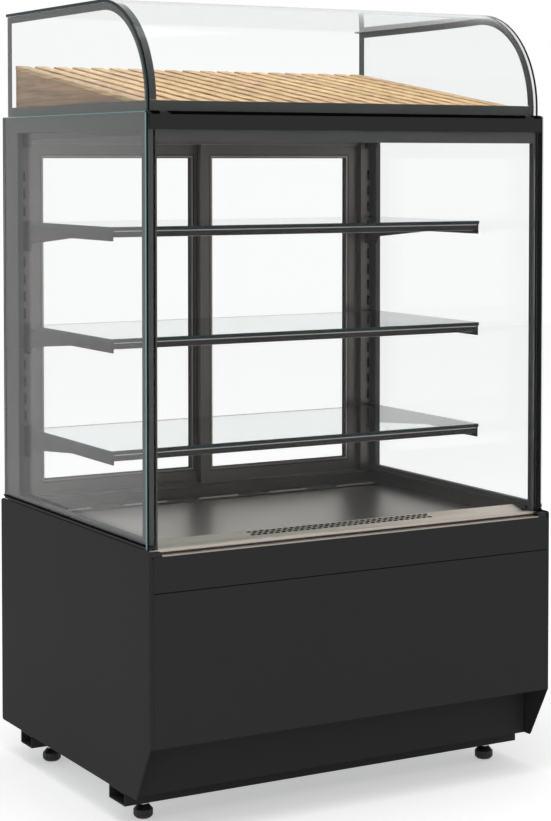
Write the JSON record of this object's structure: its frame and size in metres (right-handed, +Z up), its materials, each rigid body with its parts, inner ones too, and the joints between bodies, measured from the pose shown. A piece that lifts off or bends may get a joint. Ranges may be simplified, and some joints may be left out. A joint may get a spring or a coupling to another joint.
{
  "type": "pastry display case",
  "caption": "Refrigerated pastry display case: painted base, glazed case with glass shelves and rear sliding doors, and a curved glass bread hood with a slatted wooden rack.",
  "frame": {"origin": "on the floor under the middle of the footprint", "axes": "+X to the right as seen from the front, +Y from the front glass to the rear doors, +Z up"},
  "size_m": [0.9, 0.705, 1.5435],
  "materials": {
    "painted_panels": "dark grey satin powder coat",
    "galvanised_steel": "plain galvanised sheet",
    "brushed_deck": "brushed stainless, grain along the width",
    "bright_fasteners": "zinc plated",
    "foot_plastic": "black moulded plastic",
    "case_glass": "clear, polished edges",
    "shelf_glass": "clear toughened, polished edges",
    "hood_glass": "clear bent, polished edges",
    "edge_bars": "dark grey edge band",
    "black_rubber": "black silicone",
    "dark_header": "dark grey satin",
    "ceiling_skin": "dark grey skin over a foam core",
    "door_aluminium": "dark anodised",
    "light_housing": "dark housing with a pale lens",
    "rack_wood": "planed and oiled",
    "compressor_shell": "gloss black",
    "fin_aluminium": "bare fins",
    "fan_plastic": "black moulded plastic",
    "copper_pipe": "drawn copper",
    "tub_liner": "pale liner over foam",
    "control_plastic": "black moulded plastic"
  },
  "bodies": {
    "cabinet": {"base_tray": "galvanised_steel", "bent_hood_glass": "hood_glass", "cable_gland": "control_plastic", "ceiling_panel": "ceiling_skin", "compressor": "compressor_shell", "condensate_pan": "galvanised_steel", "condenser_coil": "fin_aluminium", "condenser_shroud": "galvanised_steel", "cross_rails": "painted_panels", "deck_tray": "brushed_deck", "deck_trims": "brushed_deck", "evaporator_coil": "fin_aluminium", "foot_lock_nuts": "bright_fasteners", "front_air_grille": "brushed_deck", "front_fascia": "painted_panels", "front_glass": "case_glass", "front_lower_panel": "painted_panels", "glass_spacers": "edge_bars", "glazing_seals": "black_rubber", "header_rail": "dark_header", "hood_edge_trim": "edge_bars", "hood_side_panes": "hood_glass", "hood_spacers": "edge_bars", "inner_frame": "galvanised_steel", "insulated_tub": "tub_liner", "kick_plate": "painted_panels", "led_lights": "light_housing", "left_side_glass": "case_glass", "left_side_panel": "painted_panels", "lower_glass_shelf": "shelf_glass", "middle_glass_shelf": "shelf_glass", "panel_screws": "bright_fasteners", "rack_frame": "rack_wood", "rack_slats": "rack_wood", "rear_air_grille": "brushed_deck", "rear_control_panel": "painted_panels", "rear_door_frame": "door_aluminium", "rear_vent_panel": "painted_panels", "refrigerant_pipes": "copper_pipe", "right_side_glass": "case_glass", "right_side_panel": "painted_panels", "shelf_brackets": "dark_header", "slotted_posts": "door_aluminium", "switch_housings": "control_plastic", "temperature_controller": "control_plastic", "upper_glass_shelf": "shelf_glass"},
    "left_door": {"left_door_frame": "door_aluminium", "left_door_glass": "case_glass", "left_door_handle": "control_plastic"},
    "right_door": {"right_door_frame": "door_aluminium", "right_door_glass": "case_glass", "right_door_handle": "control_plastic"},
    "condenser_rotor": {"condenser_fan": "fan_plastic"},
    "evaporator_rotor": {"evaporator_fan": "fin_aluminium"},
    "power_rocker": {"power_switch": "control_plastic"},
    "light_rocker": {"light_switch": "control_plastic"},
    "front_left_leveller": {"front_left_foot": "foot_plastic"},
    "front_right_leveller": {"front_right_foot": "foot_plastic"},
    "rear_left_leveller": {"rear_left_foot": "foot_plastic"},
    "rear_right_leveller": {"rear_right_foot": "foot_plastic"}
  },
  "joints": [
    {"name": "left_door_slide", "type": "slide", "parent": "cabinet", "child": "left_door", "axis": [1, 0, 0], "range_m": [0, 0.39]},
    {"name": "right_door_slide", "type": "slide", "parent": "cabinet", "child": "right_door", "axis": [1, 0, 0], "range_m": [-0.39, 0]},
    {"name": "condenser_fan_spin", "type": "hinge", "parent": "cabinet", "child": "condenser_rotor", "pos_m": [0.2, 0.2225, 0.182], "axis": [0, 1, 0], "continuous": true},
    {"name": "evaporator_fan_spin", "type": "hinge", "parent": "cabinet", "child": "evaporator_rotor", "pos_m": [0, -0.12, 0.469], "axis": [1, 0, 0], "continuous": true},
    {"name": "power_switch_rock", "type": "hinge", "parent": "cabinet", "child": "power_rocker", "pos_m": [0.15, 0.345, 0.447], "axis": [1, 0, 0], "range_deg": [0, 20]},
    {"name": "light_switch_rock", "type": "hinge", "parent": "cabinet", "child": "light_rocker", "pos_m": [0.11, 0.345, 0.447], "axis": [1, 0, 0], "range_deg": [0, 20]},
    {"name": "front_left_foot_screw", "type": "hinge", "parent": "cabinet", "child": "front_left_leveller", "pos_m": [-0.393, -0.2075, 0.035], "axis": [0, 0, 1], "range_deg": [-180, 180]},
    {"name": "front_right_foot_screw", "type": "hinge", "parent": "cabinet", "child": "front_right_leveller", "pos_m": [0.393, -0.2075, 0.035], "axis": [0, 0, 1], "range_deg": [-180, 180]},
    {"name": "rear_left_foot_screw", "type": "hinge", "parent": "cabinet", "child": "rear_left_leveller", "pos_m": [-0.393, 0.2225, 0.035], "axis": [0, 0, 1], "range_deg": [-180, 180]},
    {"name": "rear_right_foot_screw", "type": "hinge", "parent": "cabinet", "child": "rear_right_leveller", "pos_m": [0.393, 0.2225, 0.035], "axis": [0, 0, 1], "range_deg": [-180, 180]}
  ]
}
